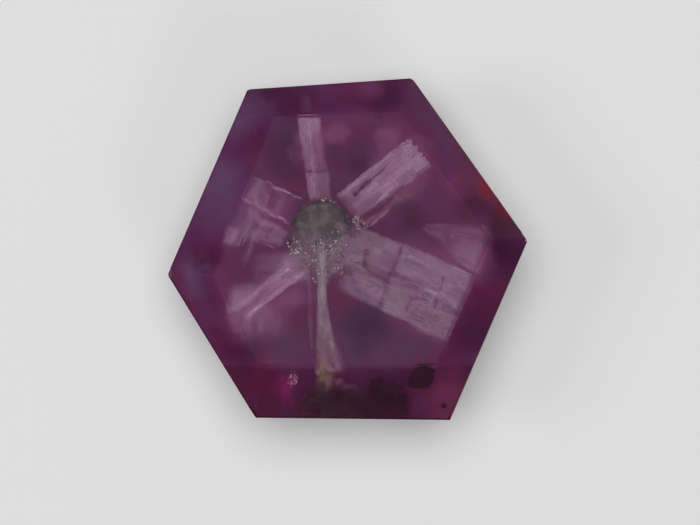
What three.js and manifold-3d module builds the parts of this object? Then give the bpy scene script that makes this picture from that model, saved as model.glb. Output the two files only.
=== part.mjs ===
// A trapiche sapphire: one crystal, cut as a low six-sided stone with bevelled edges and a flat base.
// Millimetres, +Z up. The origin is the middle of the stone's own box, on the plane of its base.
// +X and +Y are right and up as the stone is seen from above, looking down on its table.

import * as THREE from 'three';
import { mergeVertices } from 'three/addons/utils/BufferGeometryUtils.js';
import Module from 'manifold-3d';

const wasm = await Module();
wasm.setup();

// Heights of the cut. The table is the flat top, the crown its bevels, the girdle the upright edge
// and the pavilion everything below it.
const pavilionDepth = 3.3;
const girdleThickness = 0.7;
const crownRise = 0.8;
const girdleTop = pavilionDepth + girdleThickness;
const tableHeight = girdleTop + crownRise;

// The pavilion narrows in steps, each flatter than the one above. Slopes are in degrees from level.
const pavilionSteps = [
  { depth: 0.95, slope: 66 },
  { depth: 1.1, slope: 52 },
  { depth: 1.25, slope: 38 },
];

// Each side of the outline: the way it faces in degrees from +X, and how far it stands from the axis,
// at the girdle and at the edge of the table. The stone was cut by hand, so no two sides match.
const sides = [
  { name: 'top', girdle: { faces: 94.0, reach: 6.64 }, table: { faces: 92.0, reach: 5.33 } },
  { name: 'upper right', girdle: { faces: 35.4, reach: 6.07 }, table: { faces: 36.3, reach: 4.81 } },
  { name: 'lower right', girdle: { faces: 336.6, reach: 6.48 }, table: { faces: 336.5, reach: 5.03 } },
  { name: 'bottom', girdle: { faces: 269.3, reach: 6.79 }, table: { faces: 270.3, reach: 4.62 } },
  { name: 'lower left', girdle: { faces: 211.8, reach: 6.67 }, table: { faces: 206.5, reach: 5.21 } },
  { name: 'upper left', girdle: { faces: 156.5, reach: 6.2 }, table: { faces: 159.5, reach: 4.57 } },
];

// Corners of the outline that were blunted: the way each blunt face looks and its reach from the axis.
const bluntCorners = [
  { faces: 64, reach: 7.24 },
  { faces: 12, reach: 7.09 },
  { faces: 118, reach: 7.47 },
  { faces: 183, reach: 7.22 },
];

// Small chips broken out of the girdle's edge: centre, size and how much each is stretched.
const chips = [
  { at: [-7.26, -0.95, girdleTop], size: 0.26, stretch: [1, 1.3, 0.8] },
  { at: [7.2, 0.56, girdleTop], size: 0.26, stretch: [1, 1.1, 0.7] },
  { at: [7.12, 0.08, pavilionDepth], size: 0.15, stretch: [0.8, 1.4, 0.9] },
  { at: [-3.76, -6.82, pavilionDepth], size: 0.13, stretch: [1.3, 0.8, 0.9] },
  { at: [2.6, 6.84, girdleTop], size: 0.1, stretch: [1.6, 0.8, 0.8] },
];
const chipTurn = 37;

const roughSize = 24;
const upright = new THREE.Vector3(0, 0, 1);
const { degToRad, radToDeg } = THREE.MathUtils;

// A closed three.js geometry as a solid that can be cut.
function solidOf(geometry) {
  const bare = geometry.clone();
  bare.deleteAttribute('normal');
  bare.deleteAttribute('uv');
  const merged = mergeVertices(bare, 1e-5);
  return new wasm.Manifold(new wasm.Mesh({
    numProp: 3,
    vertProperties: new Float32Array(merged.attributes.position.array),
    triVerts: new Uint32Array(merged.index.array),
  }));
}

// A solid's surface as a three.js geometry.
function geometryOf(solid) {
  const surface = solid.getMesh();
  const geometry = new THREE.BufferGeometry();
  geometry.setAttribute('position', new THREE.BufferAttribute(surface.vertProperties, 3));
  geometry.setIndex(new THREE.BufferAttribute(surface.triVerts, 1));
  geometry.computeVertexNormals();
  return geometry;
}

// The outward way of a facet that faces a compass way, sloped from level. A slope of 90 is upright.
function facing(faces, slope) {
  const lean = Math.sin(degToRad(slope));
  const x = lean * Math.cos(degToRad(faces));
  const y = lean * Math.sin(degToRad(faces));
  return new THREE.Vector3(x, y, Math.cos(degToRad(slope)));
}

// A point at a distance from the axis, the given way and at the given height.
function pointAt(faces, reach, height) {
  const angle = degToRad(faces);
  return new THREE.Vector3(reach * Math.cos(angle), reach * Math.sin(angle), height);
}

// Grinds a flat facet: takes away all that lies beyond the plane through the point.
function grind(stone, faces, slope, point) {
  const block = new THREE.BoxGeometry(2 * roughSize, 2 * roughSize, 2 * roughSize);
  block.translate(0, 0, roughSize);
  block.applyQuaternion(new THREE.Quaternion().setFromUnitVectors(upright, facing(faces, slope)));
  block.translate(point.x, point.y, point.z);
  return stone.subtract(solidOf(block));
}

function sawRough() {
  const slab = new THREE.BoxGeometry(roughSize, roughSize, tableHeight);
  slab.translate(0, 0, tableHeight / 2);
  return solidOf(slab);
}

function grindGirdle(stone) {
  const walls = [...sides.map((side) => side.girdle), ...bluntCorners];
  return walls.reduce(
    (cut, { faces, reach }) => grind(cut, faces, 90, pointAt(faces, reach, pavilionDepth)),
    stone,
  );
}

// Each bevel of the crown falls from the edge of the table to the top of the girdle.
function grindCrown(stone) {
  return sides.reduce((cut, { girdle, table }) => {
    const slope = radToDeg(Math.atan2(crownRise, girdle.reach - table.reach));
    return grind(cut, table.faces, slope, pointAt(table.faces, table.reach, tableHeight));
  }, stone);
}

function grindPavilion(stone) {
  let cut = stone;
  let height = pavilionDepth;
  let inset = 0;
  for (const step of pavilionSteps) {
    for (const { girdle } of sides) {
      const start = pointAt(girdle.faces, girdle.reach - inset, height);
      cut = grind(cut, girdle.faces, 180 - step.slope, start);
    }
    height -= step.depth;
    inset += step.depth / Math.tan(degToRad(step.slope));
  }
  return cut;
}

function breakChips(stone) {
  return chips.reduce((cut, { at, size, stretch }, i) => {
    const chip = new THREE.IcosahedronGeometry(size, 1);
    chip.scale(...stretch);
    chip.rotateZ(degToRad(chipTurn * i));
    chip.translate(...at);
    return cut.subtract(solidOf(chip));
  }, stone);
}

// Moves the stone so that its base is on the ground and its outline's middle is on the axis.
function centre(geometry) {
  geometry.computeBoundingBox();
  const { min, max } = geometry.boundingBox;
  geometry.translate(-(min.x + max.x) / 2, -(min.y + max.y) / 2, -min.z);
}

function makeSapphire() {
  const stone = [grindGirdle, grindCrown, grindPavilion, breakChips]
    .reduce((cut, step) => step(cut), sawRough());
  const geometry = geometryOf(stone);
  centre(geometry);
  const material = new THREE.MeshStandardMaterial({
    color: 0x5c2f58,
    roughness: 0.06,
    metalness: 0,
    flatShading: true,
  });
  const sapphire = new THREE.Mesh(geometry, material);
  sapphire.name = 'sapphire';
  return sapphire;
}

const trapicheSapphire = new THREE.Group();
trapicheSapphire.add(makeSapphire());

export default trapicheSapphire;
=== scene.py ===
import math
import random

import bmesh
import bpy
from mathutils import Matrix, Vector, noise
from mathutils.bvhtree import BVHTree


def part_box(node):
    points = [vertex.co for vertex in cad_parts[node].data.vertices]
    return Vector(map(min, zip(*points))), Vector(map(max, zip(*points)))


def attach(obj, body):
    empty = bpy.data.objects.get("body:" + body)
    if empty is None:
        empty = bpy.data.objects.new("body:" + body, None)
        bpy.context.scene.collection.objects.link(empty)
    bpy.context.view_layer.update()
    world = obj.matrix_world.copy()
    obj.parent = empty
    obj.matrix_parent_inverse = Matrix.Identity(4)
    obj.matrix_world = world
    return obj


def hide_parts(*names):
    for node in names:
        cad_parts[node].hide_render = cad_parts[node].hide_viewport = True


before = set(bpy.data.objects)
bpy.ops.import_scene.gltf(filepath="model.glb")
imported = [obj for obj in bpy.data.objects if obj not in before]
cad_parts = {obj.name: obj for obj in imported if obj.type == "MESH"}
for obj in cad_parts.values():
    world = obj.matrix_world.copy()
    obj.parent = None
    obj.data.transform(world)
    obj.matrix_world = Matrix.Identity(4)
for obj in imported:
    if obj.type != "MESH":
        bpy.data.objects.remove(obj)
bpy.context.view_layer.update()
mm = 0.001  # sizes below are in millimetres, apart from the floor and the lamps
stoneLow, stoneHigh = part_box("sapphire")
tableZ = stoneHigh.z / mm
print("frame loaded, stone", [round(side / mm, 2) for side in stoneHigh - stoneLow], "mm")


# Shader helpers

class Wire:
    # one output socket of a material: arithmetic on it adds Math nodes

    def __init__(self, paint, out):
        self.paint = paint
        self.out = out

    def math(self, operation, *others, clamp=False):
        settings = {"operation": operation, "use_clamp": clamp}
        return self.paint.node("ShaderNodeMath", settings, dict(enumerate((self, *others))))

    def flipped(self, operation, other):
        return self.paint.node("ShaderNodeMath", {"operation": operation}, {0: other, 1: self})

    def __add__(self, other):
        return self.math("ADD", other)

    def __radd__(self, other):
        return self.math("ADD", other)

    def __sub__(self, other):
        return self.math("SUBTRACT", other)

    def __rsub__(self, other):
        return self.flipped("SUBTRACT", other)

    def __mul__(self, other):
        return self.math("MULTIPLY", other)

    def __rmul__(self, other):
        return self.math("MULTIPLY", other)

    def __truediv__(self, other):
        return self.math("DIVIDE", other)

    def clamped(self):
        return self.math("ADD", 0.0, clamp=True)

    def above(self, other):
        return self.math("MAXIMUM", other)


class Paint:
    # the nodes of a material, or of the world, under construction

    def __init__(self, name, shelf=bpy.data.materials):
        self.owner = shelf.new(name)
        self.owner.use_nodes = True
        self.tree = self.owner.node_tree
        self.tree.nodes.clear()

    def node(self, kind, settings=None, sockets=None, output=0):
        made = self.tree.nodes.new(kind)
        for key, value in (settings or {}).items():
            if key == "stops":
                self.setStops(made, value)
            else:
                setattr(made, key, value)
        for key, value in (sockets or {}).items():
            if isinstance(value, Wire):
                self.tree.links.new(value.out, made.inputs[key])
            else:
                made.inputs[key].default_value = value
        return Wire(self, made.outputs[output]) if made.outputs else None

    def setStops(self, made, stops):
        ramp = made.color_ramp
        while len(ramp.elements) < len(stops):
            ramp.elements.new(0.5)
        for element, (place, colour) in zip(ramp.elements, stops):
            element.position = place
            element.color = (*colour, 1)

    def places(self):
        # x, y and z on the stone, in millimetres
        found = self.node("ShaderNodeTexCoord", output="Object")
        scaled = self.node("ShaderNodeVectorMath", {"operation": "SCALE"}, {0: found, "Scale": 1 / mm})
        return self.parted(scaled)

    def parted(self, vector):
        return [self.node("ShaderNodeSeparateXYZ", None, {0: vector}, axis) for axis in range(3)]

    def joined(self, x, y, z):
        return self.node("ShaderNodeCombineXYZ", None, {0: x, 1: y, 2: z})

    def cloud(self, x, y, z, detail=2.0, rough=0.5):
        # smooth noise round 0.5 at a place
        sockets = {"Vector": self.joined(x, y, z), "Scale": 1.0, "Detail": detail, "Roughness": rough}
        return self.node("ShaderNodeTexNoise", None, sockets)

    def step(self, value, start, end):
        # 0 to 1 as value goes from start to end, smoothly
        sockets = {"Value": value, "From Min": start, "From Max": end}
        return self.node("ShaderNodeMapRange", {"interpolation_type": "SMOOTHSTEP"}, sockets)

    def blend(self, share, first, second, way="MIX"):
        sockets = {0: share, 6: first, 7: second}
        settings = {"data_type": "RGBA", "blend_type": way, "clamp_factor": True}
        return self.node("ShaderNodeMix", settings, sockets, 2)

    def spot(self, x, y, centre, reach):
        # 1 at a centre, falling softly to 0 at reach
        across = (x - centre[0]) / reach
        along = (y - centre[1]) / reach
        left = (1 - (across * across + along * along)).above(0)
        return left * left

    def spots(self, x, y, places):
        return sum(self.spot(x, y, centre, reach) for centre, reach in places).clamped()

    def matte(self, tone, roughness, shine, more=None):
        # a surface with a weak shine or none, finished
        sockets = {"Base Color": tone, "Roughness": roughness, "Specular IOR Level": shine}
        sockets.update(more or {})
        return self.finish({"Surface": self.node("ShaderNodeBsdfPrincipled", None, sockets)})

    def finish(self, sockets, kind="ShaderNodeOutputMaterial"):
        self.node(kind, None, sockets)
        return self.owner


def colour(red, green, blue):
    # a screen colour, 0 to 255, as the linear colour that shaders use
    def linear(value):
        value = value / 255
        return value / 12.92 if value <= 0.04045 else ((value + 0.055) / 1.055) ** 2.4

    return (linear(red), linear(green), linear(blue))


def solid(rgb):
    return (*rgb, 1)


# Mesh helpers

def newPiece(name, mesh, material, smooth=False):
    data = bpy.data.meshes.new(name)
    mesh.to_mesh(data)
    mesh.free()
    data.materials.append(material)
    data.polygons.foreach_set("use_smooth", [smooth] * len(data.polygons))
    piece = bpy.data.objects.new(name, data)
    bpy.context.scene.collection.objects.link(piece)
    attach(piece, "root")
    return piece


def hullOf(points):
    # the convex solid round some points given in millimetres
    mesh = bmesh.new()
    for point in points:
        mesh.verts.new(Vector(point) * mm)
    bmesh.ops.convex_hull(mesh, input=mesh.verts)
    loose = [v for v in mesh.verts if not v.link_faces]
    bmesh.ops.delete(mesh, geom=loose, context="VERTS")
    bmesh.ops.recalc_face_normals(mesh, faces=mesh.faces)
    return mesh


def cornersNear(height, tolerance=0.02):
    # the corners of the cut stone at one height, in order round it, in millimetres
    points = {}
    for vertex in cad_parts["sapphire"].data.vertices:
        x, y, z = vertex.co / mm
        if abs(z - height) < tolerance:
            points[(round(x, 2), round(y, 2))] = (x, y)
    return sorted(points.values(), key=lambda point: math.atan2(point[1], point[0]))


crownMesh = bmesh.new()
crownMesh.from_mesh(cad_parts["sapphire"].data)
crownTree = BVHTree.FromBMesh(crownMesh)
crownMesh.free()
rayStart = 20  # well above the stone


def crownHeight(x, y):
    # the height of the crown's own facets over a point, in millimetres
    hit = crownTree.ray_cast(Vector((x, y, rayStart)) * mm, Vector((0, 0, -1)))
    return hit[0].z / mm if hit[0] else tableZ


# The cut stone

cutSettings = {
    "edgeRadius": 0.025,
    "edgeSteps": 2,
    "weld": 0.002,
    "flatAngle": 0.5,  # degrees: facets that meet at less are one, and edges over the second are rounded
    "sharpAngle": 8,
    "refraction": 1.77,
    "roughness": 0.035,
    "absorbed": 230.0,
    "letsThrough": (0.66, 0.16, 0.58),
    "polishRelief": 0.02,
    "polishHeight": 0.02,
}


def crystalFinish(settings):
    paint = Paint("clearCorundum")
    x, y, z = paint.places()
    waves = paint.cloud(x * 0.9, y * 0.9, z * 0.9, 3.0)
    lines = paint.cloud(x * 9 + y * 4, y * 0.7, z * 3)
    bump = paint.node("ShaderNodeBump", None, {
        "Strength": settings["polishRelief"],
        "Distance": settings["polishHeight"] * mm,
        "Height": waves * 0.6 + lines * 0.4,
    })
    glass = paint.node("ShaderNodeBsdfPrincipled", None, {
        "Base Color": (1, 1, 1, 1),
        "Roughness": settings["roughness"],
        "IOR": settings["refraction"],
        "Transmission Weight": 1.0,
        "Normal": bump,
    })
    depth = paint.node("ShaderNodeVolumeAbsorption", None, {
        "Color": solid(settings["letsThrough"]),
        "Density": settings["absorbed"],
    })
    return paint.finish({"Surface": glass, "Volume": depth})


def cutStone(settings):
    mesh = bmesh.new()
    mesh.from_mesh(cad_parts["sapphire"].data)
    bmesh.ops.remove_doubles(mesh, verts=mesh.verts, dist=settings["weld"] * mm)
    flat = math.radians(settings["flatAngle"])
    bmesh.ops.dissolve_limit(mesh, angle_limit=flat, verts=mesh.verts, edges=mesh.edges)
    sharp = [edge for edge in mesh.edges if edge.calc_face_angle(0) > math.radians(settings["sharpAngle"])]
    bmesh.ops.bevel(
        mesh, geom=sharp, offset=settings["edgeRadius"] * mm, offset_type="OFFSET",
        segments=settings["edgeSteps"], profile=0.5, affect="EDGES", clamp_overlap=True,
    )
    bmesh.ops.triangulate(mesh, faces=mesh.faces)
    bmesh.ops.recalc_face_normals(mesh, faces=mesh.faces)
    piece = newPiece("cutStone", mesh, crystalFinish(settings))
    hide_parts("sapphire")


# The arms of the star. An arm is made of veils, thin sheets of fine needles that lie in the crystal. Lines
# are single needles and cracks in it. All are in millimetres from the middle of the stone, and tint goes
# from 0, olive, through brown, pink and lilac to 1, grey.

def sheet(inner, outer, cover, light, tint, soft, **more):
    # a veil: inner and outer are the two corners of each end, and soft is how far it takes to fade at its
    # inner end, outer end, first side and second side
    shape = {"inner": inner, "outer": outer, "soft": soft}
    return {**shape, "cover": cover, "light": light, "tint": tint, **more}


def streak(start, end, width, light, tint=0.6):
    # a line: light above 0 makes a bright needle, and light below 0 a dark crack
    return {"from": start, "to": end, "width": width, "light": light, "tint": tint}


starArms = {
    "topArm": [
        sheet(((-1.55, 1.85), (-1.2, 1.85)), ((-2.05, 5.24), (-1.55, 5.24)),
              0.3, 0.45, 0.65, (0.3, 0.06, 0.2, 0.1)),
        sheet(((-1.26, 1.9), (-0.56, 1.95)), ((-1.6, 5.24), (-1.02, 5.24)),
              0.12, 0.4, 0.5, (0.2, 0.06, 0.06, 0.24)),
        sheet(((-1.9, 4.1), (-1.0, 4.1)), ((-2.03, 5.24), (-1.04, 5.24)),
              0.2, 0.65, 0.7, (0.8, 0.06, 0.16, 0.2)),
        sheet(((-1.24, 1.9), (-0.58, 1.95)), ((-1.34, 3.08), (-0.68, 3.08)),
              0.2, 0.4, 0.8, (0.2, 0.06, 0.06, 0.16)),
        sheet(((-2.05, 5.3), (-1.25, 5.3)), ((-2.0, 6.4), (-1.4, 6.4)),
              0.045, 0.4, 0.5, (0.2, 0.9, 0.3, 0.3), weave=0.3),
        streak((-1.57, 5.18), (-1.32, 2.95), 0.05, 0.9),
        streak((-1.32, 2.95), (-1.24, 2.1), 0.05, 0.6),
        streak((-1.8, 3.08), (-0.7, 3.06), 0.05, -0.7),
    ],
    "upperRightArm": [
        sheet(((-0.5, 2.15), (0.3, 1.12)), ((2.5, 4.5), (3.4, 3.25)),
              0.34, 0.54, 0.7, (0.6, 0.14, 0.1, 0.14), ragged=0.3, teeth=1.4),
        sheet(((0.75, 2.5), (1.25, 1.9)), ((2.45, 4.3), (3.3, 3.4)),
              0.2, 0.55, 0.65, (0.9, 0.16, 0.25, 0.2), ragged=0.3, teeth=1.4),
        sheet(((0.2, 1.15), (0.85, 0.7)), ((3.1, 3.35), (3.8, 2.9)), 0.2, 0.2, 0.34, (0.3, 1.5, 0.25, 0.45)),
        streak((0.3, 2.2), (0.9, 2.72), 0.13, -1.15),
        streak((0.7, 2.56), (1.6, 3.3), 0.06, -0.9),
        streak((-0.2, 2.15), (2.2, 4.2), 0.06, 0.25),
        streak((1.0, 2.1), (1.6, 2.6), 0.06, 0.25),
        streak((1.5, 2.9), (2.2, 3.4), 0.06, -0.3),
        streak((2.0, 3.0), (2.3, 3.3), 0.05, -0.25),
        streak((0.6, 1.2), (1.7, 2.0), 0.1, -0.85),
        streak((0.85, 0.84), (1.7, 1.56), 0.16, 0.5, 0.42),
        streak((0.3, 0.8), (0.5, 1.2), 0.07, 0.8, 0.42),
        streak((0.5, 1.2), (0.75, 0.9), 0.07, 0.6, 0.42),
        streak((0.2, 1.25), (0.55, 0.72), 0.08, 0.5, 0.4),
        streak((1.25, 1.95), (1.75, 2.4), 0.05, 0.3),
        streak((1.5, 2.5), (2.6, 3.4), 0.06, 0.2),
    ],
    "rightArm": [
        sheet(((0.1, 1.1), (-0.55, -1.62)), ((5.16, -1.0), (3.95, -3.72)),
              0.28, 0.38, 0.92, (0.7, 0.32, 0.14, 0.14), ragged=0.06),
        sheet(((0.05, -0.75), (-0.1, -1.75)), ((1.65, -1.3), (1.32, -2.42)),
              0.17, 0.42, 0.7, (0.6, 0.14, 0.2, 0.12)),
        sheet(((2.24, 0.3), (1.8, -0.95)), ((5.0, -0.98), (4.35, -2.55)),
              0.21, 0.5, 0.78, (0.1, 0.2, 0.12, 0.3), ragged=0.05),
        sheet(((2.3, -2.75), (2.2, -3.3)), ((4.1, -3.1), (3.9, -4.1)), 0.14, 0.35, 0.6, (0.7, 0.5, 0.3, 0.6)),
        sheet(((2.2, -0.28), (2.06, -0.95)), ((3.15, -0.6), (2.95, -1.2)),
              0.14, 0.7, 0.75, (0.08, 0.3, 0.06, 0.25)),
        sheet(((1.75, -1.45), (1.4, -2.4)), ((2.75, -1.8), (2.35, -2.88)),
              0.16, 0.55, 0.95, (0.08, 0.14, 0.12, 0.14)),
        sheet(((0.85, 0.45), (0.8, -0.62)), ((2.15, 0.2), (1.85, -0.9)),
              0.16, 0.5, 0.5, (0.14, 0.1, 0.1, 0.25)),
        sheet(((2.9, -1.9), (2.7, -2.7)), ((4.3, -2.35), (3.95, -3.15)),
              0.14, 0.45, 0.5, (0.3, 0.2, 0.1, 0.2)),
        sheet(((2.8, 1.1), (3.2, 0.55)), ((5.8, 1.0), (5.2, -1.2)), 0.14, 0.25, 0.55, (0.9, 0.45, 0.4, 0.4)),
        sheet(((4.0, 0.3), (4.0, -0.25)), ((5.5, 0.4), (5.15, -1.15)),
              0.15, 0.45, 0.65, (0.7, 0.4, 0.5, 0.3)),
        sheet(((2.85, 1.0), (2.95, 0.65)), ((4.1, 0.5), (4.2, 0.1)), 0.12, 0.4, 0.6, (0.5, 0.8, 0.25, 0.25)),
        streak((0.72, 0.17), (0.62, -0.68), 0.08, -0.55),
        streak((2.1, -0.05), (1.72, -1.05), 0.11, -0.6),
        streak((1.78, -0.95), (1.56, -1.4), 0.14, -0.6),
        streak((1.56, -1.4), (1.26, -2.35), 0.11, -0.6),
        streak((0.78, -0.9), (1.6, -1.3), 0.08, -0.65),
        streak((0.85, -1.25), (1.3, -1.5), 0.06, -0.55),
        streak((2.2, -1.16), (3.46, -1.56), 0.08, -0.7),
        streak((2.54, -1.93), (3.2, -2.04), 0.07, -0.7),
        streak((3.82, -1.1), (3.45, -2.3), 0.08, -0.65),
        streak((2.54, -1.93), (2.36, -2.4), 0.08, -0.55),
        streak((-0.12, -0.4), (0.65, -0.77), 0.04, 0.8, 0.5),
        streak((2.1, -0.5), (2.2, -0.3), 0.06, 0.6),
        streak((2.2, -0.3), (2.5, -0.26), 0.05, 0.6),
        streak((2.5, -0.26), (3.1, -0.56), 0.05, 0.6),
        streak((2.35, -0.45), (2.95, -0.66), 0.06, -0.5),
        streak((2.5, -0.85), (2.95, -1.0), 0.06, 0.35),
        streak((3.02, -1.56), (3.62, -1.86), 0.06, 1.2, 0.5),
        streak((1.34, -2.34), (2.3, -2.8), 0.05, 0.5),
        streak((4.22, -0.75), (4.7, -0.95), 0.06, 0.65),
        streak((3.7, -1.8), (4.0, -1.92), 0.06, 0.6),
        streak((3.55, -2.45), (3.8, -2.6), 0.05, 0.55),
        streak((4.15, -2.05), (4.25, -2.25), 0.07, 0.5),
        streak((2.95, 0.86), (3.75, 0.45), 0.12, 0.18),
    ],
    "bottomArm": [
        sheet(((-0.8, 0.4), (-1.24, 0.4)), ((-0.82, -2.2), (-1.2, -2.2)),
              0.52, 0.6, 1.0, (0.5, 0.3, 0.18, 0.18), rise=0.22),
        sheet(((-0.84, -1.6), (-1.22, -1.6)), ((-0.34, -4.6), (-1.3, -4.6)),
              0.48, 0.42, 1.0, (0.4, 0.9, 0.26, 0.28)),
        sheet(((-0.5, -3.1), (-1.2, -3.1)), ((-0.3, -4.8), (-1.3, -4.8)),
              0.2, 0.35, 0.25, (0.7, 0.5, 0.3, 0.3)),
        sheet(((-0.3, -3.4), (-1.1, -3.4)), ((0.05, -5.0), (-1.1, -5.0)),
              0.17, 0.35, 0.85, (0.7, 0.4, 0.4, 0.3), weave=0.4),
        sheet(((-0.36, -4.1), (-1.36, -4.1)), ((-0.5, -5.9), (-1.3, -5.9)),
              0.3, 0.3, 0.0, (0.8, 0.9, 0.38, 0.34)),
        sheet(((-1.44, -0.9), (-1.66, -0.9)), ((-1.28, -4.2), (-1.54, -4.1)),
              0.07, 0.35, 0.34, (0.5, 0.5, 0.12, 0.12)),
        sheet(((-0.62, -5.08), (-0.52, -5.45)), ((-0.08, -5.05), (-0.16, -5.56)),
              0.42, 0.2, 0.45, (0.14, 0.26, 0.14, 0.26), weave=0),
        sheet(((-0.3, -5.2), (-0.4, -5.6)), ((0.75, -5.35), (0.55, -5.85)),
              0.26, 0.1, 0.45, (0.25, 0.5, 0.2, 0.25), weave=0),
        streak((-1.56, -2.6), (-1.4, -4.02), 0.03, 0.2, 0.2),
        streak((-0.78, -4.64), (-0.66, -4.76), 0.06, 1.3, 0.15),
        streak((-0.7, -4.74), (-0.4, -4.8), 0.05, 0.5, 0.2),
        streak((-1.16, -4.9), (-0.9, -4.45), 0.06, 0.5, 0.0),
    ],
    "lowerLeftArm": [
        sheet(((-1.4, -0.7), (-2.15, -0.3)), ((-4.05, -2.78), (-4.6, -2.2)),
              0.29, 0.45, 0.52, (0.5, 0.3, 0.08, 0.3), teeth=1.2, weave=0.35),
        sheet(((-1.2, -1.5), (-1.8, 0.1)), ((-3.9, -1.6), (-4.0, -0.1)),
              0.2, 0.35, 0.75, (0.4, 1.1, 0.5, 0.5), weave=0.1),
        sheet(((-3.0, -1.8), (-3.2, -1.3)), ((-4.85, -2.9), (-4.8, -1.25)),
              0.3, 0.6, 0.66, (1.1, 0.5, 0.7, 0.7), weave=0.3),
        sheet(((-2.4, -2.0), (-4.9, -2.0)), ((-2.6, -3.9), (-4.9, -3.5)),
              0.2, 0.38, 0.62, (0.6, 1.0, 0.7, 0.8), weave=0.2),
        streak((-1.62, -0.87), (-4.02, -2.72), 0.08, 1.05, 0.55),
        streak((-1.8, -1.04), (-3.6, -2.44), 0.05, 0.7, 0.5),
        streak((-2.7, -0.95), (-4.38, -2.36), 0.1, 0.6, 0.6),
        streak((-2.46, -0.5), (-2.32, -0.8), 0.14, 0.7, 0.55),
        streak((-1.7, -0.6), (-2.0, -0.62), 0.07, 0.6, 0.5),
        streak((-3.4, -1.85), (-4.1, -2.45), 0.12, -0.35),
    ],
    "leftArm": [
        sheet(((-1.85, 2.05), (-2.26, 1.0)), ((-3.82, 3.05), (-4.3, 1.8)),
              0.075, 0.35, 0.47, (0.7, 0.6, 0.3, 0.25), weave=0.9),
        sheet(((-2.8, 2.55), (-3.2, 1.45)), ((-3.9, 3.1), (-4.4, 1.8)),
              0.08, 0.35, 0.47, (0.9, 0.8, 0.5, 0.6), weave=1.5),
        sheet(((-2.3, 1.02), (-2.75, 0.0)), ((-4.24, 1.85), (-4.85, 0.6)),
              0.07, 0.35, 0.47, (0.6, 0.5, 0.14, 0.4), weave=0.9),
        sheet(((-3.9, 1.15), (-4.1, -0.05)), ((-4.85, 1.15), (-5.15, -0.05)),
              0.07, 0.35, 0.55, (0.5, 0.45, 0.6, 0.3), weave=1.5),
        sheet(((-3.4, 0.9), (-3.85, 0.8)), ((-4.0, -1.0), (-4.42, -0.9)),
              0.14, 0.38, 0.6, (0.5, 0.9, 0.25, 0.3)),
        sheet(((-1.9, 1.2), (-2.3, -0.1)), ((-4.1, 1.9), (-4.6, 0.3)),
              0.11, 0.35, 0.7, (0.5, 0.6, 0.5, 0.4), weave=0.15),
        sheet(((-4.16, 0.95), (-4.3, 0.12)), ((-4.86, 0.98), (-4.98, 0.24)),
              0.13, 0.38, 0.75, (0.2, 0.25, 0.25, 0.2), weave=0.3),
        sheet(((-3.3, 2.56), (-3.6, 1.9)), ((-3.78, 2.8), (-4.1, 2.1)),
              0.1, 0.35, 0.6, (0.15, 0.2, 0.2, 0.15), weave=0.3),
        sheet(((-2.55, 0.98), (-2.9, 0.4)), ((-3.4, 1.2), (-3.7, 0.66)),
              0.12, 0.35, 0.7, (0.2, 0.2, 0.2, 0.2), weave=0.3),
        streak((-3.7, 2.86), (-2.6, 2.33), 0.14, 0.6),
        streak((-2.9, 2.48), (-1.78, 1.98), 0.09, 1.2, 0.52),
        streak((-4.1, 1.86), (-3.1, 1.46), 0.16, 0.3),
        streak((-3.2, 1.48), (-2.36, 1.04), 0.09, 1.2, 0.55),
        streak((-4.2, 1.95), (-3.86, 1.72), 0.22, 0.5),
        streak((-3.62, 1.9), (-3.5, 1.5), 0.16, 0.5),
        streak((-3.4, 1.58), (-3.0, 1.44), 0.18, 0.4),
        streak((-3.44, 1.36), (-2.3, 0.92), 0.07, -0.85),
        streak((-2.94, 2.3), (-3.1, 1.66), 0.16, -0.6),
        streak((-2.2, 1.96), (-2.6, 1.2), 0.2, -0.5),
        streak((-3.42, 2.7), (-3.9, 1.2), 0.22, 0.22),
        streak((-3.1, 2.2), (-3.62, 0.6), 0.18, 0.22),
        streak((-2.4, 0.62), (-3.7, 1.2), 0.16, 0.22),
        streak((-2.5, 0.3), (-4.4, 1.0), 0.16, 0.18),
        streak((-2.9, 1.0), (-3.2, 0.5), 0.12, -0.5),
        streak((-3.5, 1.25), (-3.9, 0.7), 0.16, -0.5),
        streak((-3.24, 0.2), (-2.82, -0.02), 0.1, 0.5, 0.42),
        streak((-4.1, 0.7), (-4.3, 0.06), 0.12, 0.45),
        streak((-4.45, 0.9), (-4.65, 0.15), 0.2, 0.25),
        streak((-3.85, 0.95), (-4.15, 0.1), 0.14, 0.3),
        streak((-5.0, 0.4), (-4.5, 0.2), 0.16, 0.25),
        streak((-3.8, 0.5), (-3.6, 0.2), 0.2, 0.35),
        streak((-4.14, 0.3), (-4.36, -0.5), 0.08, -0.9),
    ],
    "coreMist": [
        sheet(((-2.5, 0.9), (0.4, 0.9)), ((-2.3, -1.1), (-0.2, -1.3)),
              0.23, 0.3, 1.0, (0.5, 0.5, 0.6, 0.5), rise=0.2, weave=0.15),
        sheet(((-0.4, 0.3), (-1.6, 0.3)), ((-0.7, -1.6), (-1.4, -1.6)),
              0.34, 0.35, 1.0, (0.4, 0.5, 0.3, 0.3), rise=0.2, weave=0.15),
        sheet(((-0.3, 0.6), (-0.6, -0.7)), ((1.1, 0.5), (0.6, -0.8)),
              0.27, 0.4, 0.9, (0.4, 0.4, 0.3, 0.3), rise=0.2, weave=0.15),
    ],
}

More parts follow.
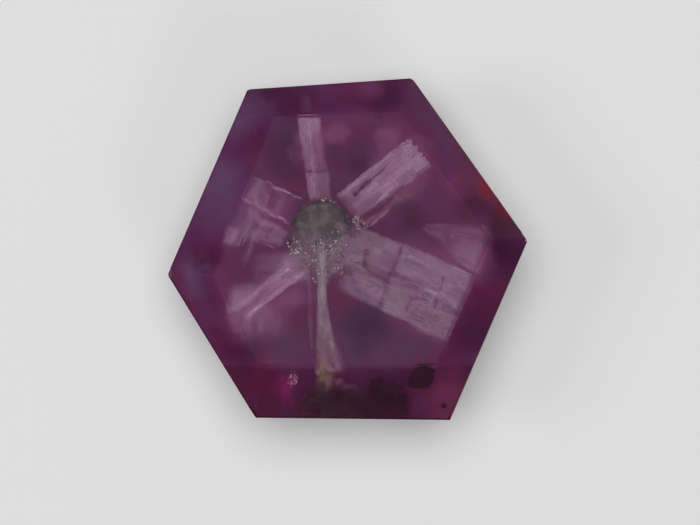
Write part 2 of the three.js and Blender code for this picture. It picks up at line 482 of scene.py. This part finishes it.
silkSettings = {
    "cell": 0.055,  # a veil's mesh, also the shortest step of a needle
    "thickness": 0.02,
    "topGap": 0.32,
    "veilStep": 0.03,
    "layers": 2,
    "layerStep": 0.135,
    "row": 0.27,
    "block": 0.8,
    "blockTone": 0.2,
    "cloudTone": 0.16,
    "relief": 0.03,
    "bevelGap": 0.12,  # the least depth of silk under a bevel of the crown
    "worn": (0.07, 3),  # how far the edges of a veil wander, and how often in a millimetre
    "frayed": (0.05, 11),
    "tooth": 0.045,
    "toothRun": 0.2,
    "raggedWaves": (4, 7),  # smooth waves and square steps along a ragged end
    "cloudScale": 1.1,
    "cloudCover": 0.35,
    "brickCover": 0.22,
    "lineGlow": 0.4,  # how far a line changes the light and the cover of the veils round it
    "lineCover": 0.8,
    "thinnest": 0.012,
    "needleRun": 0.45,
    "runSpread": (0.4, 1.3),
    "overlap": 0.25,
    "stray": (-0.5, 0.5),
    "needleWidth": 0.045,
    "widthSpread": (0.7, 1.2),
    "needleRise": (0.08, 0.14),
    "needleCover": 0.5,
    "needleLight": 0.8,
    "blunt": 0.2,  # width and cover at the tips of a needle
    "weave": 16,  # needles to a square millimetre
    "weaveRun": (0.25, 1.1),
    "weaveWidth": (0.05, 0.14),
    "weaveRise": (0.03, 0.1),
    "weaveCover": (1 / 3, 1.0),  # as a share of the veil's cover
    "weaveLight": (-0.1, 0.4),
    "crossed": 0.38,  # share of needles that lie across the veil
    "coverGain": 0.95,
    "lights": [(0.0, colour(160, 112, 148)), (0.5, colour(236, 202, 226)), (1.0, colour(255, 252, 255))],
    "tints": [
        (0.0, colour(222, 218, 160)), (0.25, colour(255, 212, 198)), (0.5, colour(255, 222, 245)),
        (0.75, colour(246, 228, 248)), (1.0, colour(225, 228, 224)),
    ],
}


def smooth(value):
    value = max(0.0, min(1.0, value))
    return value * value * (3 - 2 * value)


def sheetFaces(cells):
    # the faces of a closed sheet made of some cells of a grid: corners are layer, column and row
    for i, j in sorted(cells):
        around = ((i, j), (i + 1, j), (i + 1, j + 1), (i, j + 1))
        yield [(0, *spot) for spot in around]
        yield [(1, *spot) for spot in reversed(around)]
        for side, beyond in enumerate(((i, j - 1), (i + 1, j), (i, j + 1), (i - 1, j))):
            if beyond not in cells:
                here = around[side]
                there = around[(side + 1) % 4]
                yield [(0, *there), (0, *here), (1, *here), (1, *there)]


class SilkMesh:
    # points with their place along and across a veil, and their cover, light and tint

    def __init__(self):
        self.points = []
        self.faces = []
        self.marks = {"silkPlace": [], "silkCover": [], "silkLight": [], "silkTint": []}

    def addPoint(self, corner, drop):
        x, y, z, place, cover, light, tint = corner
        self.points.append(Vector((x, y, z - drop)) * mm)
        self.marks["silkPlace"].extend(place)
        self.marks["silkCover"].append(cover)
        self.marks["silkLight"].append(light)
        self.marks["silkTint"].append(tint)
        return len(self.points) - 1

    def addSheet(self, grid, thickness, thinnest=0.0):
        # a closed sheet over a grid of points, with no cell where its cover is thinner than the least
        kept = set()
        for i in range(len(grid) - 1):
            for j in range(len(grid[0]) - 1):
                around = (grid[i][j], grid[i + 1][j], grid[i + 1][j + 1], grid[i][j + 1])
                if max(corner[4] for corner in around) >= thinnest:
                    kept.add((i, j))
        made = {}
        for face in sheetFaces(kept):
            for layer, i, j in face:
                if (layer, i, j) not in made:
                    made[layer, i, j] = self.addPoint(grid[i][j], layer * thickness)
            self.faces.append(tuple(made[corner] for corner in face))

    def toPiece(self, name, material):
        data = bpy.data.meshes.new(name)
        data.from_pydata([tuple(point) for point in self.points], [], self.faces)
        for mark, values in self.marks.items():
            vector = mark == "silkPlace"
            attribute = data.attributes.new(mark, "FLOAT_VECTOR" if vector else "FLOAT", "POINT")
            attribute.data.foreach_set("vector" if vector else "value", values)
        mesh = bmesh.new()
        mesh.from_mesh(data)
        bmesh.ops.recalc_face_normals(mesh, faces=mesh.faces)
        mesh.to_mesh(data)
        mesh.free()
        data.materials.append(material)
        piece = bpy.data.objects.new(name, data)
        piece.visible_shadow = False  # light passes through the silk and lights what is under it
        piece.visible_diffuse = False
        bpy.context.scene.collection.objects.link(piece)
        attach(piece, "root")


def veilPoint(veil, along, across):
    # along and across go from 0 to 1
    innerA, innerB = (Vector(point) for point in veil["inner"])
    outerA, outerB = (Vector(point) for point in veil["outer"])
    return innerA.lerp(innerB, across).lerp(outerA.lerp(outerB, across), along)


def veilFade(veil, *gaps):
    # 0 at the edges of a veil and 1 inside it, from the gaps to its two ends and two sides
    return math.prod(smooth(gap / soft) for gap, soft in zip(gaps, veil["soft"]))


def silkTop(settings, x, y):
    # what the depth of the silk is counted from: the table, or lower under a bevel of the crown
    return min(tableZ, crownHeight(x, y) + settings["topGap"] - settings["bevelGap"])


def nearLine(point, line):
    # 1 on a line, falling to 0 within about two widths of it
    start = Vector(line["from"])
    run = Vector(line["to"]) - start
    share = max(0.0, min(1.0, (point - start).dot(run) / run.length_squared))
    gap = (point - start - run * share).length / line["width"]
    return math.exp(-gap * gap)


def waves(along, across, seed, strength, scale):
    # smooth noise over a veil
    return strength * noise.noise(Vector((along * scale, across * scale, seed)))


def lattice(settings, along, across, seed):
    # the light and dark bricks that the crossed needles make, from -1 to 1
    row = math.floor(across / settings["row"] + waves(along, across, seed, 0.3, 2))
    shift = 3.7 * noise.cell(Vector((row + 0.5, seed + 0.5, 0.5)))
    brick = math.floor(along / settings["block"] + shift)
    return noise.cell(Vector((row + 0.5, brick + 0.5, seed + 0.5)))


def layVeil(silk, veil, lines, settings, seed, depth):
    length = (veilPoint(veil, 1, 0.5) - veilPoint(veil, 0, 0.5)).length
    width = max((veilPoint(veil, end, 1) - veilPoint(veil, end, 0)).length for end in (0, 1))
    columns = math.ceil(length / settings["cell"])
    rows = math.ceil(width / settings["cell"])
    smoothRag, squareRag = settings["raggedWaves"]
    grid = []
    for i in range(columns + 1):
        strip = []
        for j in range(rows + 1):
            along = length * i / columns
            across = width * j / rows
            point = veilPoint(veil, i / columns, j / rows)
            ragged = noise.noise(Vector((across * smoothRag, seed, 7))) - 0.3
            ragged += 0.3 * noise.cell(Vector((across * squareRag, seed, 2.5)))
            ragged *= veil.get("ragged", 0)
            worn = waves(along, across, seed + 4, *settings["worn"])
            worn += waves(along, across, seed + 9, *settings["frayed"])
            tooth = noise.cell(Vector((along / settings["toothRun"], seed, 0.5)))
            worn += settings["tooth"] * tooth * veil.get("teeth", 0.3)
            fade = veilFade(veil, along + worn, length - along + ragged, across + worn, width - across + worn)
            cloud = waves(point.x, point.y, seed * 0.3, 1.0, settings["cloudScale"])
            brick = lattice(settings, along, across, seed)
            light = veil["light"] + settings["blockTone"] * brick + settings["cloudTone"] * cloud
            cover = 1 + settings["cloudCover"] * cloud + settings["brickCover"] * brick
            cover *= veil["cover"] * fade
            for mark in lines:
                near = mark["light"] * nearLine(point, mark) * fade
                light += near * settings["lineGlow"]
                cover *= 1 + near * settings["lineCover"]
            cover = max(0.0, min(0.95, cover * settings["coverGain"]))
            z = silkTop(settings, *point) - depth + veil.get("rise", 0)
            z += settings["relief"] * (light - veil["light"])
            strip.append((point.x, point.y, z, (along, across, seed), cover, light, veil["tint"]))
        grid.append(strip)
    silk.addSheet(grid, settings["thickness"], settings["thinnest"])


def layNeedle(silk, settings, needle):
    # one flat needle, pointed at both ends
    start = needle["start"]
    run = needle["end"] - start
    aside = Vector((-run.y, run.x)).normalized() * needle["width"] / 2
    steps = max(2, math.ceil(run.length / (3 * settings["cell"])))
    blunt = settings["blunt"]
    grid = []
    for k in range(steps + 1):
        swell = math.sin(math.pi * k / steps)
        middle = start + run * k / steps
        z = silkTop(settings, *middle) - needle["depth"]
        row = []
        for side in (-1, 0, 1):
            point = middle + aside * side * (blunt + (1 - blunt) * swell)
            place = (run.length * k / steps, side * needle["width"], needle["depth"])
            cover = needle["cover"] * min(1.0, blunt + swell) * (0.0 if side else 1.0)
            row.append((point.x, point.y, z, place, cover, needle["light"], needle["tint"]))
        grid.append(row)
    silk.addSheet(grid, settings["thickness"])


def drawLine(silk, line, settings, dice):
    # a bright line is a row of thin overlapping needles
    start = Vector(line["from"])
    run = Vector(line["to"]) - start
    aside = Vector((-run.y, run.x)).normalized()
    place = 0.0
    while place < run.length:
        length = settings["needleRun"] * dice.uniform(*settings["runSpread"])
        begin = max(0.0, place - length * settings["overlap"])
        finish = min(run.length, place + length)
        offset = aside * dice.uniform(*settings["stray"]) * line["width"]
        layNeedle(silk, settings, {
            "start": start + run * begin / run.length + offset,
            "end": start + run * finish / run.length + offset,
            "width": (settings["needleWidth"] + line["width"]) * dice.uniform(*settings["widthSpread"]),
            "depth": settings["topGap"] - dice.uniform(*settings["needleRise"]),
            "cover": min(0.9, settings["needleCover"] * line["light"]),
            "light": settings["needleLight"],
            "tint": line["tint"],
        })
        place = finish


def weaveVeil(silk, veil, settings, dice):
    # loose needles along and across a veil, which give it its woven look
    length = (veilPoint(veil, 1, 0.5) - veilPoint(veil, 0, 0.5)).length
    width = (veilPoint(veil, 0.5, 1) - veilPoint(veil, 0.5, 0)).length
    for _ in range(round(settings["weave"] * length * width)):
        along = dice.random()
        across = dice.random()
        half = dice.uniform(*settings["weaveRun"]) / 2
        crossed = dice.random() < settings["crossed"]
        reach = half / (2 * width) if crossed else half / length
        ends = []
        for way in (-reach, reach):
            u = along if crossed else max(0.02, min(1.0, along + way))
            v = max(0.02, min(0.98, across + way)) if crossed else across
            ends.append(veilPoint(veil, u, v))
        fade = veilFade(veil, along * length, (1 - along) * length, across * width, (1 - across) * width)
        layNeedle(silk, settings, {
            "start": ends[0],
            "end": ends[1],
            "width": dice.uniform(*settings["weaveWidth"]),
            "depth": settings["topGap"] - dice.uniform(*settings["weaveRise"]) - veil.get("rise", 0),
            "cover": dice.uniform(*settings["weaveCover"]) * fade * veil["cover"] * veil.get("weave", 1.0),
            "light": veil["light"] + dice.uniform(*settings["weaveLight"]),
            "tint": veil["tint"],
        })


def silkFinish(settings):
    paint = Paint("silkyLilac")
    place = paint.node("ShaderNodeAttribute", {"attribute_name": "silkPlace"}, None, 1)
    along, across, layer = paint.parted(place)
    cover, light, tint = (
        paint.node("ShaderNodeAttribute", {"attribute_name": name}, None, 2)
        for name in ("silkCover", "silkLight", "silkTint")
    )
    needles = paint.cloud(along * 1.4, across * 11, layer * 7) - 0.5
    weave = paint.cloud(along * 9, across * 1.6, layer * 7 + 3) - 0.5
    value = light + needles * 0.32 + weave * 0.26
    tone = paint.node("ShaderNodeValToRGB", {"stops": settings["lights"]}, {0: value})
    wash = paint.node("ShaderNodeValToRGB", {"stops": settings["tints"]}, {0: tint})
    mask = cover * (0.9 + 0.3 * paint.step(value, 0.15, 0.95))
    tone = paint.blend(1.0, tone, wash, "MULTIPLY")
    return paint.matte(tone, roughness=0.8, shine=0.0, more={"Alpha": mask.clamped()})


def silkArm(name, bands, settings, material, seed):
    dice = random.Random(seed)
    silk = SilkMesh()
    veils = [band for band in bands if "cover" in band]
    lines = [band for band in bands if "cover" not in band]
    for number, veil in enumerate(veils):
        for layer in range(settings["layers"]):
            depth = settings["topGap"] + layer * settings["layerStep"] + number * settings["veilStep"]
            layVeil(silk, veil, lines, settings, seed + 2.3 * number + 0.7 * layer, depth)
        weaveVeil(silk, veil, settings, dice)
    for mark in lines:
        if mark["light"] > 0:
            drawLine(silk, mark, settings, dice)
    silk.toPiece(name, material)


# The cloudy heart of the crystal under the star

heartSettings = {
    "topGap": 0.75,
    "shoulderGap": 0.95,
    "baseGap": 0.35,
    "girdleAt": (3.3, 0.3),  # the height of the girdle's corners, and how far they may lie from it
    "girdleReach": 5,  # they lie further out than this
    "lowShoulder": 3.1,
    "shrunk": (0.98, 1 - 0.11 / 7, 0.95),  # the heart's width as a share of the stone's: top, sides and base
    "purple": colour(148, 78, 136),
    "magenta": colour(156, 70, 120),
    "dusk": colour(98, 50, 90),
    "maroon": colour(96, 30, 66),
    "lowEdge": -4.62,  # where the painted shade, a darker band along the bottom side, begins
    "lowShadeShare": 0.5,
    "onTop": (3.35, 3.8),  # heights over which the colours of the top give way to the painted shade of the sides
    "sideShade": (0.9, 0.4, 0.84),
    "swirl": (0.8, 1.7),  # scale and strength of the noise that bends the patches
    "zoning": 1.5,
    "zoneShare": 0.14,
    "growthFaces": (94, 36, -23, -90, 210, 157),  # which way the six sides look, in degrees
    "patches": [
        {"tint": colour(156, 116, 164), "share": 0.9, "places": [
            ((-4.2, 5.2), 1.3), ((-4.9, 2.1), 2.1), ((-6.0, -1.1), 1.1),
        ]},
        {"tint": colour(140, 104, 142), "share": 0.5, "places": [
            ((0.5, -3.6), 1.8), ((-2.2, -3.9), 1.5), ((2.2, -4.0), 1.2),
        ]},
        {"tint": colour(92, 12, 50), "share": 0.6, "onTop": True, "places": [
            ((6.1, 1.4), 1.1), ((5.9, 0.1), 1.4), ((4.9, 1.7), 1.0),
        ]},
        {"tint": colour(205, 30, 48), "share": 0.75, "onTop": True, "places": [
            ((6.35, 1.75), 0.8), ((5.6, 2.95), 0.65), ((5.5, 2.3), 0.6), ((4.75, 4.3), 0.5),
        ]},
        {"tint": colour(140, 36, 84), "share": 0.45, "places": [
            ((-3.6, -5.3), 1.6), ((3.9, -5.4), 1.5), ((5.7, -1.9), 1.5), ((-5.0, -3.6), 1.2),
        ]},
        {"tint": colour(70, 30, 75), "share": 0.5, "places": [
            ((-2.6, 3.8), 1.6), ((2.5, 1.0), 1.2), ((-4.0, -3.9), 1.2), ((1.6, 6.1), 1.8), ((-2.6, 6.2), 2.0),
            ((6.4, 0.0), 1.7), ((5.2, -3.4), 1.8), ((0.4, 3.4), 1.3), ((-5.5, -0.4), 0.9),
        ]},
        {"tint": colour(60, 48, 84), "share": 0.55, "places": [((0.7, -3.0), 1.5)]},
        {"tint": colour(225, 150, 205), "share": 0.5, "places": [
            ((1.4, 4.6), 0.8), ((-0.6, 4.6), 0.6), ((-1.5, 4.2), 1.0), ((2.0, 3.2), 1.6), ((2.8, -1.4), 2.4),
            ((4.7, -0.2), 1.4), ((-3.6, -2.4), 1.8), ((-2.2, -1.8), 1.0),
        ]},
        {"tint": colour(168, 126, 176), "share": 0.5, "onTop": True, "places": [((-4.8, 2.9), 1.1)]},
        {"tint": colour(212, 118, 190), "share": 0.4, "onTop": True, "places": [
            ((-3.2, 1.6), 1.5), ((0.9, 6.4), 0.9),
        ]},
        {"tint": colour(190, 95, 145), "share": 0.5, "places": [((3.8, -5.7), 1.5), ((4.5, 2.6), 0.7)]},
        {"tint": colour(205, 66, 144), "share": 0.75, "places": [((-2.5, -5.6), 0.8)]},
    ],
}


def growthZone(settings, x, y):
    # distance from the axis in hexagonal rings, as a crystal grows
    rings = None
    for faces in settings["growthFaces"]:
        angle = math.radians(faces)
        reach = x * math.cos(angle) + y * math.sin(angle)
        rings = reach if rings is None else rings.above(reach)
    return rings


def heartFinish(settings):
    paint = Paint("cloudyPurple")
    x, y, z = paint.places()
    scale, bend = settings["swirl"]
    warpX = x + (paint.cloud(x * scale, y * scale, z * scale, 3.0) - 0.5) * bend
    warpY = y + (paint.cloud(x * scale + 7, y * scale, z * scale, 3.0) - 0.5) * bend
    mottle = paint.cloud(warpX * 0.7, warpY * 0.7, z * 0.5, 4.0)
    tone = paint.blend(paint.step(mottle, 0.38, 0.66), solid(settings["purple"]), solid(settings["magenta"]))
    rings = growthZone(settings, x, y)
    bands = paint.cloud(rings * settings["zoning"], x * 0.2, y * 0.2, 3.0)
    tone = paint.blend(paint.step(bands, 0.4, 0.65) * settings["zoneShare"], tone, solid(settings["dusk"]))
    # painted shade: a darker maroon band under the bottom bevel, standing in for that facet looking another
    # way
    low = paint.step(y, settings["lowEdge"] + 0.1, settings["lowEdge"] - 0.1) * settings["lowShadeShare"]
    tone = paint.blend(low, tone, solid(settings["maroon"]))
    top = paint.step(z, *settings["onTop"])
    for patch in settings["patches"]:
        onTop = patch.get("onTop")
        share = paint.spots(*((x, y) if onTop else (warpX, warpY)), patch["places"]) * patch["share"]
        if onTop:
            share = share * top
        tone = paint.blend(share, tone, solid(patch["tint"]))
    # painted shade: the heart's sides below the top are darkened, to look as dark as the top seen through the
    # stone
    tone = paint.blend(1 - top, tone, solid(settings["sideShade"]), "MULTIPLY")
    return paint.matte(tone, roughness=0.9, shine=0.0)


def cloudyHeart(settings):
    corners = cornersNear(*settings["girdleAt"])
    girdle = [point for point in corners if math.hypot(*point) > settings["girdleReach"]]
    top, side, base = settings["shrunk"]
    mesh = hullOf([(px * share, py * share, height) for ring, share, height in (
        (cornersNear(tableZ), top, tableZ - settings["topGap"]),
        (girdle, side, tableZ - settings["shoulderGap"]),
        (girdle, side, settings["lowShoulder"]),
        (cornersNear(0), base, settings["baseGap"]),
    ) for px, py in ring])
    newPiece("cloudyHeart", mesh, heartFinish(settings))


# The dark core

coreSettings = {
    "centre": (-1.06, 0.94),
    "half": (1.24, 1.1),
    "topGap": 0.24,
    "depth": 2.6,
    "rough": 0.07,
    "crumbs": 0.03,
    "flatter": 1.6,  # how soon the round sides turn into the flat top
    "domed": 0.08,
    "dark": colour(120, 109, 112),
    "pale": colour(190, 176, 176),
}


def coreFinish(settings):
    paint = Paint("greyCore")
    x, y, z = paint.places()
    lumps = paint.cloud(x * 2.7, y * 2.7, z * 2.7, 5.0, 0.6)
    specks = paint.step(paint.cloud(x * 10, y * 10, z * 10), 0.55, 0.7)
    lower = paint.step(0.9 - y, 0, 1.0)
    share = paint.step(lumps, 0.42, 0.64) * 0.55 + specks * lower * 0.6 + lower * 0.15
    tone = paint.blend(share.clamped(), solid(settings["dark"]), solid(settings["pale"]))
    return paint.matte(tone, roughness=0.6, shine=0.2)


def darkCore(settings):
    mesh = bmesh.new()
    bmesh.ops.create_icosphere(mesh, subdivisions=6, radius=1.0)
    cx, cy = settings["centre"]
    hx, hy = settings["half"]
    top = tableZ - settings["topGap"]
    for vertex in mesh.verts:
        unit = vertex.co.normalized()
        bulge = 1 + settings["rough"] * noise.fractal(unit * 2.1, 0.9, 2.1, 4)
        crumbs = settings["crumbs"] * noise.fractal(unit * 7, 0.7, 2.2, 3)
        px = cx + unit.x * hx * (bulge + crumbs)
        py = cy + unit.y * hy * (bulge + crumbs)
        flat = max(-1.0, min(1.0, unit.z * settings["flatter"]))
        pz = top - settings["depth"] / 2 + flat * settings["depth"] / 2 * (1 + crumbs)
        vertex.co = Vector((px, py, min(pz, top + settings["domed"]))) * mm
    newPiece("darkCore", mesh, coreFinish(settings), smooth=True)


# Small crystals, flakes and sparkles shut in the stone

grainSettings = {
    # tiny crystals with a painted glint: near white, and glowing a little by emission
    "sparkles": {
        "count": 170, "size": (0.014, 0.045), "gap": (0.08, 0.16), "jitter": 0.06,
        "tint": colour(255, 252, 250), "glintGlow": 0.16,
        "rings": [((-2.1, 0.1), 0.22, 0.2), ((-2.0, -0.05), 0.16, 0.12), ((-1.15, 0.12), 0.2, 0.2),
                  ((-0.45, 0.22), 0.22, 0.4), ((-0.55, 0.1), 0.1, 0.2), ((-1.3, -0.85), 0.14, 0.42),
                  ((-0.33, -0.85), 0.1, 0.12), ((-0.76, 1.92), 0.22, 0.04), ((0.36, 1.08), 0.06, 0.2),
                  ((-1.45, -0.35), 0.2, 0.14), ((0.6, 0.9), 0.12, 0.08)],
    },
    "greyCrumbs": {
        "count": 60, "size": (0.03, 0.08), "gap": (0.08, 0.16), "tint": colour(165, 150, 155), "jitter": 0.14,
        "rings": [((-2.05, 0.05), 0.25, 0.22), ((-0.5, 0.15), 0.3, 0.4), ((-1.3, -0.5), 0.35, 0.4),
                  ((-0.4, -0.6), 0.25, 0.3), ((0.35, 0.85), 0.2, 0.2)],
    },
    # dark dots among the sparkles
    "blackSpecks": {
        "count": 50, "size": (0.02, 0.05), "gap": (0.1, 0.16), "tint": colour(52, 42, 48), "jitter": 0.07,
        "rings": [((-2.0, 0.0), 0.2, 0.16), ((-2.35, 0.4), 0.06, 0.08), ((-0.4, 0.15), 0.2, 0.3),
                  ((-1.1, 0.2), 0.16, 0.16), ((-1.35, -0.75), 0.1, 0.3)],
    },
    # tiny pink crystals with a painted glint: pale, and glowing a little by emission
    "pinkSparkles": {
        "count": 80, "size": (0.012, 0.03), "gap": (0.08, 0.14), "jitter": 0.05,
        "tint": colour(255, 196, 226), "glintGlow": 0.18,
        "rings": [((-2.15, -5.1), 0.09, 0.17), ((-2.2, -5.2), 0.12, 0.14)],
    },
}


def grainFinish(name, tint, glintGlow):
    paint = Paint(name)
    x, y, z = paint.places()
    speck = paint.cloud(x * 11, y * 11, z * 11)
    dull = tuple(channel * 0.75 for channel in tint)
    tone = paint.blend(paint.step(speck, 0.35, 0.65), solid(dull), solid(tint))
    # painted glint: where a group has a glow, emission makes its grains glow a little, as if they caught the
    # lamps
    lit = {"Emission Color": solid(tint), "Emission Strength": glintGlow}
    return paint.matte(tone, roughness=0.45, shine=0.3, more=lit)


def scatterGrains(name, settings, seed):
    # little sharp crystals along a few rings, each given by its middle and half sizes
    dice = random.Random(seed)
    mesh = bmesh.new()
    for _ in range(settings["count"]):
        centre, hx, hy = dice.choice(settings["rings"])
        turned = dice.uniform(0, math.tau)
        px = centre[0] + math.cos(turned) * hx + dice.gauss(0, settings["jitter"])
        py = centre[1] + math.sin(turned) * hy + dice.gauss(0, settings["jitter"])
        size = dice.uniform(*settings["size"])
        pz = crownHeight(px, py) - dice.uniform(*settings["gap"])
        turn = Matrix.Rotation(dice.uniform(0, math.tau), 4, (dice.random(), dice.random(), 1))
        stretch = Matrix.Diagonal((dice.uniform(0.6, 1.3), dice.uniform(0.4, 1), dice.uniform(0.3, 0.7), 1))
        place = Matrix.Translation(Vector((px, py, pz)) * mm)
        bmesh.ops.create_icosphere(mesh, subdivisions=1, radius=size * mm, matrix=place @ turn @ stretch)
    newPiece(name, mesh, grainFinish(name + "Tint", settings["tint"], settings.get("glintGlow", 0.0)))


flakeSettings = {
    "gap": 0.1,
    "thickness": 0.03,
    "tint": colour(74, 14, 56),
    "outlines": [
        [(2.39, -5.16), (2.69, -4.71), (3.06, -4.61), (3.49, -4.76), (3.4, -5.23), (3.2, -5.47),
         (2.87, -5.54), (2.47, -5.47)],
        [(2.72, -4.54), (3.55, -4.5), (3.43, -4.58), (2.81, -4.62)],
        [(0.88, -5.2), (1.3, -5.1), (1.45, -5.32), (1.85, -5.25), (2.1, -5.5), (1.95, -5.95), (1.5, -5.8),
         (1.2, -5.75), (1.0, -5.6)],
        [(3.74, -6.2), (3.86, -6.13), (3.97, -6.24), (3.85, -6.36), (3.76, -6.33)],
        [(3.27, -6.16), (3.33, -6.16), (3.34, -6.22), (3.28, -6.22)],
    ],
}


def flakeFinish(settings):
    paint = Paint("maroonFlake")
    x, y, z = paint.places()
    veins = paint.cloud(x * 5, y * 7, z * 5, 4.0, 0.6)
    lighter = tuple(channel * 1.5 for channel in settings["tint"])
    tone = paint.blend(paint.step(veins, 0.45, 0.7), solid(settings["tint"]), solid(lighter))
    return paint.matte(tone, roughness=0.5, shine=0.2)


def darkFlakes(settings):
    mesh = bmesh.new()
    for outline in settings["outlines"]:
        top = []
        low = []
        for px, py in outline:
            z = crownHeight(px, py) - settings["gap"]
            top.append(mesh.verts.new(Vector((px, py, z)) * mm))
            low.append(mesh.verts.new(Vector((px, py, z - settings["thickness"])) * mm))
        mesh.faces.new(top)
        mesh.faces.new(reversed(low))
        for i in range(len(outline)):
            j = (i + 1) % len(outline)
            mesh.faces.new((top[j], top[i], low[i], low[j]))
    bmesh.ops.recalc_face_normals(mesh, faces=mesh.faces)
    newPiece("darkFlakes", mesh, flakeFinish(settings))


mossSettings = {
    "left": -2.3, "right": 2.6, "low": -6.72, "high": -5.25,
    "gap": 0.145,
    "thickness": 0.04,
    "relief": 0.03,
    "steps": (120, 40),
    "cover": 0.72,
    "olive": colour(100, 68, 78),
    "maroon": colour(98, 34, 74),
    "dark": colour(68, 32, 52),
}


def mossFinish(settings):
    paint = Paint("brownSkin")
    x, y, z = paint.places()
    lumps = paint.cloud(x * 2.2, y * 2.6, z * 2, 5.0, 0.65)
    lit = paint.blend(paint.step(x, -0.6, 1.2), solid(settings["olive"]), solid(settings["maroon"]))
    tone = paint.blend(paint.step(lumps, 0.35, 0.65), solid(settings["dark"]), lit)
    edge = paint.step(y + (lumps - 0.5) * 0.9, settings["high"], settings["high"] - 0.6)
    left = paint.step(x + (lumps - 0.5) * 1.5, settings["left"], settings["left"] + 1.5)
    right = paint.step(x + (lumps - 0.5) * 1.2, settings["right"], settings["right"] - 0.5)
    ragged = (edge * left * right * 1.15 + (lumps - 0.5) * edge * 1.2).clamped()
    return paint.matte(tone, roughness=0.8, shine=0.1, more={"Alpha": ragged * settings["cover"]})


def brownSkin(settings):
    # a crust of darker mineral that follows the bottom bevel from inside
    mesh = bmesh.new()
    columns, rows = settings["steps"]
    made = {}
    for i in range(columns + 1):
        px = settings["left"] + (settings["right"] - settings["left"]) * i / columns
        for j in range(rows + 1):
            py = settings["low"] + (settings["high"] - settings["low"]) * j / rows
            lump = settings["relief"] * noise.fractal(Vector((px, py, 0)) * 1.6, 0.8, 2.0, 4)
            z = crownHeight(px, py) - settings["gap"] + lump
            for layer in (0, 1):
                point = Vector((px, py, z - layer * settings["thickness"]))
                made[layer, i, j] = mesh.verts.new(point * mm)
    for face in sheetFaces({(i, j) for i in range(columns) for j in range(rows)}):
        mesh.faces.new([made[corner] for corner in face])
    bmesh.ops.recalc_face_normals(mesh, faces=mesh.faces)
    skin = newPiece("brownSkin", mesh, mossFinish(settings), smooth=True)
    skin.visible_shadow = False
    skin.visible_diffuse = False


# The stage

stageSettings = {
    "floorColour": (0.80, 0.80, 0.80),
    "floorSize": 0.6,  # metres, as are the lamps' distances and sizes
    "floorGap": 0.01,
    "sky": [(0.0, 0.8), (0.2, 0.8), (0.38, 0.04), (0.86, 0.04), (0.94, 0.12), (1.0, 0.12)],
    "lens": 100,
    "sensor": 36,
    "pixel": 0.04,  # at the height of the girdle
    "imageWidth": 700,
    "girdleHeight": 4.0,
    "imageMiddle": (0.098, -0.534),
    "lamps": [
        {"faces": 100, "height": 80, "distance": 0.5, "size": 0.45, "power": 1.95, "glints": False},
        {"faces": 183, "height": 38, "distance": 0.34, "size": 0.12, "power": 0.16, "glints": True},
        {"faces": 303, "height": 40, "distance": 0.34, "size": 0.12, "power": 0.12, "glints": True},
    ],
}


def layFloor(settings):
    mesh = bmesh.new()
    bmesh.ops.create_circle(mesh, cap_ends=True, segments=96, radius=settings["floorSize"])
    data = bpy.data.meshes.new("floor")
    mesh.to_mesh(data)
    mesh.free()
    paint = Paint("paleFloor")
    data.materials.append(paint.matte(solid(settings["floorColour"]), roughness=0.9, shine=0.1))
    floor = bpy.data.objects.new("floor", data)
    floor.location.z = stoneLow.z - settings["floorGap"] * mm
    bpy.context.scene.collection.objects.link(floor)


def hangLamps(settings):
    for i, lamp in enumerate(settings["lamps"]):
        faces = math.radians(lamp["faces"])
        height = math.radians(lamp["height"])
        flat = math.cos(height)
        way = Vector((math.cos(faces) * flat, math.sin(faces) * flat, math.sin(height)))
        data = bpy.data.lights.new(f"softbox{i}", "AREA")
        data.shape = "DISK"
        data.size = lamp["size"]
        data.energy = lamp["power"]
        lampObject = bpy.data.objects.new(f"softbox{i}", data)
        lampObject.location = way * lamp["distance"]
        lampObject.rotation_euler = way.to_track_quat("Z", "Y").to_euler()
        lampObject.visible_glossy = lamp["glints"]
        bpy.context.scene.collection.objects.link(lampObject)


def paintWorld(settings):
    # light from below and all round, dim above, with a paler spot overhead
    paint = Paint("studio", bpy.data.worlds)
    bpy.context.scene.world = paint.owner
    height = paint.parted(paint.node("ShaderNodeTexCoord", output="Generated"))[2]
    stops = [(place, (value, value, value)) for place, value in settings["sky"]]
    sky = paint.node("ShaderNodeValToRGB", {"stops": stops}, {0: height})
    shine = paint.node("ShaderNodeBackground", None, {"Color": sky})
    paint.finish({"Surface": shine}, "ShaderNodeOutputWorld")


def placeCamera(settings):
    width = settings["imageWidth"] * settings["pixel"] * mm
    data = bpy.data.cameras.new("camera")
    data.lens = settings["lens"]
    data.sensor_width = settings["sensor"]
    data.clip_start = 0.005
    data.clip_end = 5
    camera = bpy.data.objects.new("camera", data)
    x, y = settings["imageMiddle"]
    distance = width * settings["lens"] / settings["sensor"]
    camera.location = (x * mm, y * mm, settings["girdleHeight"] * mm + distance)
    bpy.context.scene.collection.objects.link(camera)
    bpy.context.scene.camera = camera


def setLook():
    scene = bpy.context.scene
    scene.view_settings.view_transform = "Standard"
    scene.cycles.max_bounces = 24
    scene.cycles.transmission_bounces = 24
    scene.cycles.diffuse_bounces = 8
    scene.cycles.glossy_bounces = 12
    scene.cycles.transparent_max_bounces = 128
    scene.cycles.blur_glossy = 1.0


cutStone(cutSettings)
print("stone cut")
cloudyHeart(heartSettings)
print("cloudy heart in place")
silk = silkFinish(silkSettings)
for seed, (armName, bands) in enumerate(starArms.items(), 11):
    silkArm(armName, bands, silkSettings, silk, seed)
print("arms laid")
darkCore(coreSettings)
print("core set")
for seed, (grainName, grains) in enumerate(grainSettings.items(), 31):
    scatterGrains(grainName, grains, seed)
darkFlakes(flakeSettings)
brownSkin(mossSettings)
print("grains and flakes set")
layFloor(stageSettings)
hangLamps(stageSettings)
paintWorld(stageSettings)
placeCamera(stageSettings)
setLook()
print("stage ready")
